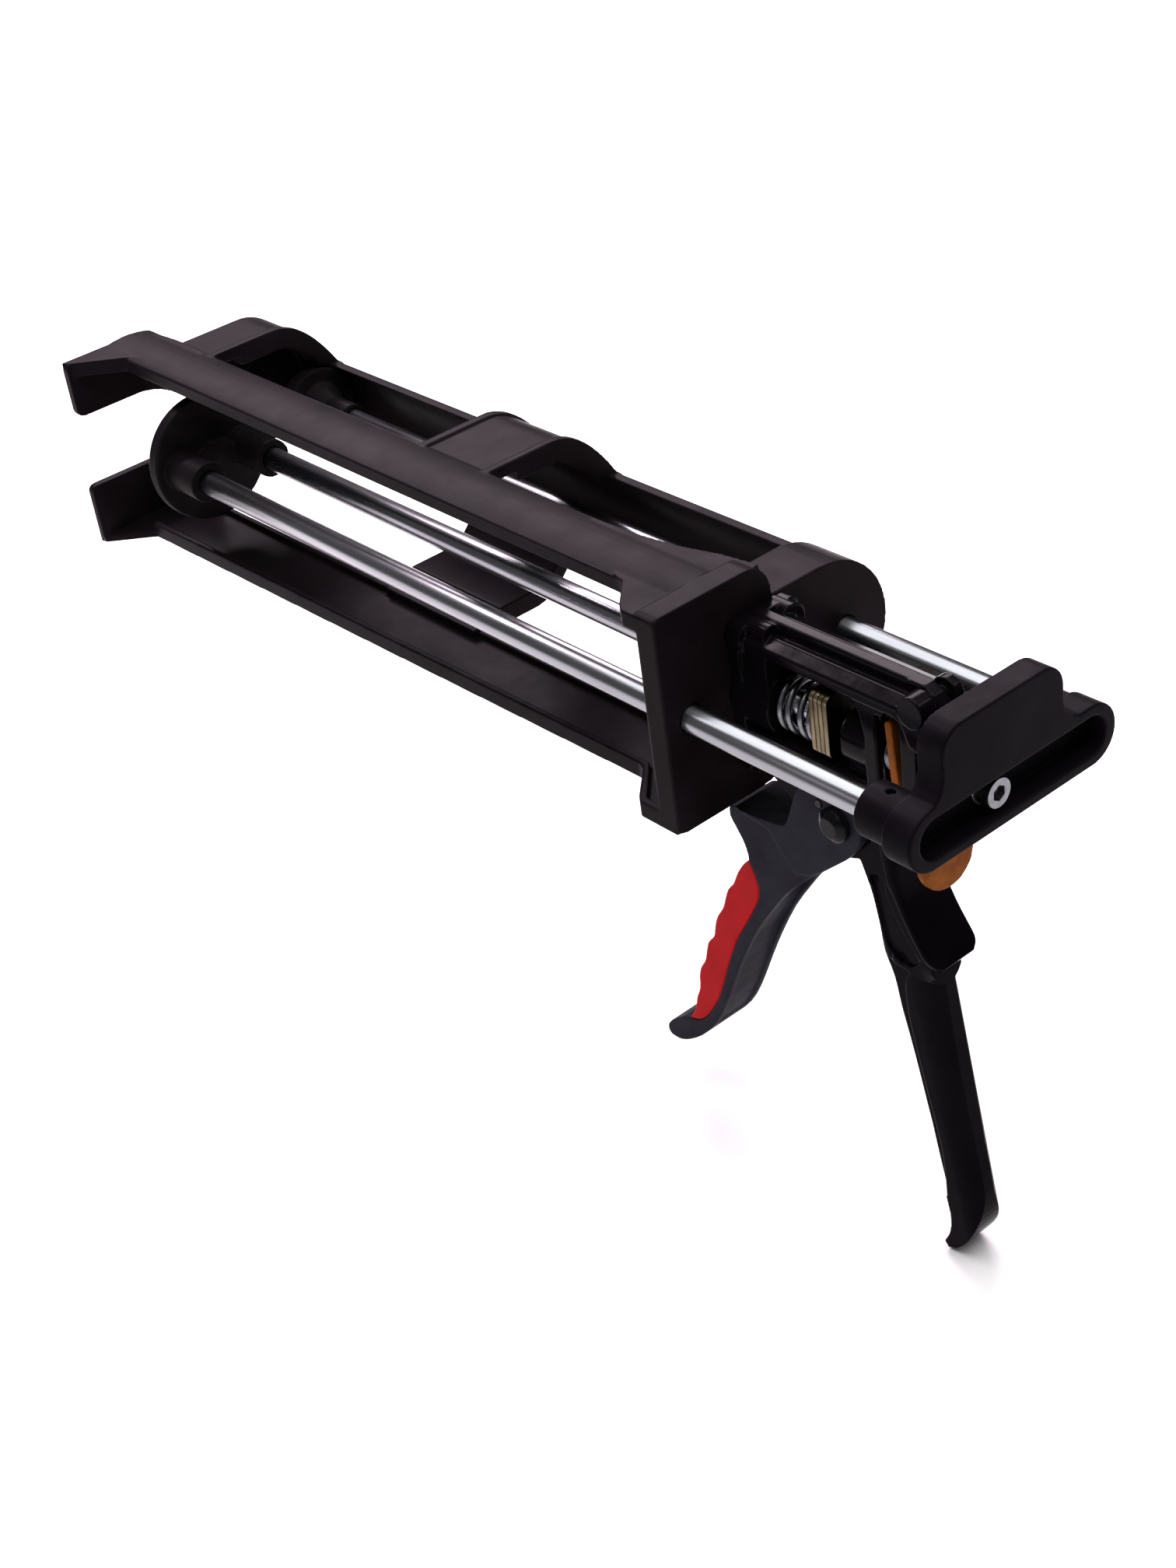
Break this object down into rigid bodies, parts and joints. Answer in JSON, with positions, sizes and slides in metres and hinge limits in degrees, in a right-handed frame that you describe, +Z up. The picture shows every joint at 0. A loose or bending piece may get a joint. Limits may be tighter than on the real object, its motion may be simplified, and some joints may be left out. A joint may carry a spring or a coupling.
{
  "type": "caulking gun",
  "caption": "Hand-operated two-component dispensing gun: open side-by-side cartridge cradle, push rods with plungers, ratchet drive, trigger and fixed grip.",
  "frame": {"origin": "on the centre push rod's axis, in the plane of the cradle's rear face, where the lever body bolts on", "axes": "+X along the push rods towards the rear, -X towards the cartridge nozzles; +Y to the right (the small cartridge's side); +Z up, the grip hangs towards -Z"},
  "size_m": [0.39, 0.0923, 0.2009],
  "materials": {
    "cradle_black": "satin moulded",
    "casting_black": "gloss enamel over die casting",
    "trigger_grey": "fine matte texture",
    "red_rubber": "soft-touch matte",
    "rivet_black": "gloss black",
    "dark_steel": "blackened",
    "yellow_zinc": "yellow-passivated zinc plate",
    "zinc_steel": "zinc plated",
    "copper_plate": "bronze-coloured passivate",
    "red_washer": "satin",
    "bright_steel": "bright drawn and plated",
    "yoke_black": "fine matte texture",
    "plunger_black": "satin moulded"
  },
  "bodies": {
    "frame": {"body_casting": "casting_black", "carriage": "cradle_black", "carriage_screws": "zinc_steel", "trigger_rivet": "rivet_black", "drive_spring": "zinc_steel", "release_spring": "zinc_steel"},
    "trigger_group": {"trigger": "trigger_grey", "trigger_pad": "red_rubber", "striker_pin": "dark_steel"},
    "plates": {"drive_plate_1": "yellow_zinc", "drive_plate_2": "yellow_zinc", "drive_plate_3": "yellow_zinc", "drive_plate_4": "yellow_zinc"},
    "release": {"release_lever": "copper_plate", "release_washer": "red_washer"},
    "rod_set": {"centre_rod": "bright_steel", "left_rod": "bright_steel", "right_rod": "bright_steel", "yoke": "yoke_black", "yoke_screw": "zinc_steel", "yoke_washer": "zinc_steel", "rod_pins": "dark_steel", "large_plunger": "plunger_black", "small_plunger": "plunger_black", "plunger_screws": "zinc_steel"}
  },
  "joints": [
    {"name": "trigger_pull", "type": "hinge", "parent": "frame", "child": "trigger_group", "pos_m": [0.0375, 0, -0.026], "axis": [0, -1, 0], "range_deg": [0, 30], "stiffness_Nm_per_rad": 0.6, "springref_deg": -20.05},
    {"name": "plate_travel", "type": "slide", "parent": "frame", "child": "plates", "axis": [-1, 0, 0], "range_m": [0, 0.0065], "deforming": ["drive_spring"]},
    {"name": "release_press", "type": "hinge", "parent": "frame", "child": "release", "pos_m": [0.05825, 0, 0.0124], "axis": [0, 1, 0], "range_deg": [0, 4], "stiffness_Nm_per_rad": 0.3, "springref_deg": -9.74, "deforming": ["release_spring"]},
    {"name": "rod_slide", "type": "slide", "parent": "frame", "child": "rod_set", "axis": [1, 0, 0], "range_m": [-0.001, 0.224]}
  ],
  "couplings": [
    {"joint": "plate_travel", "follows": "trigger_pull", "m_per_rad": 0.0124}
  ]
}
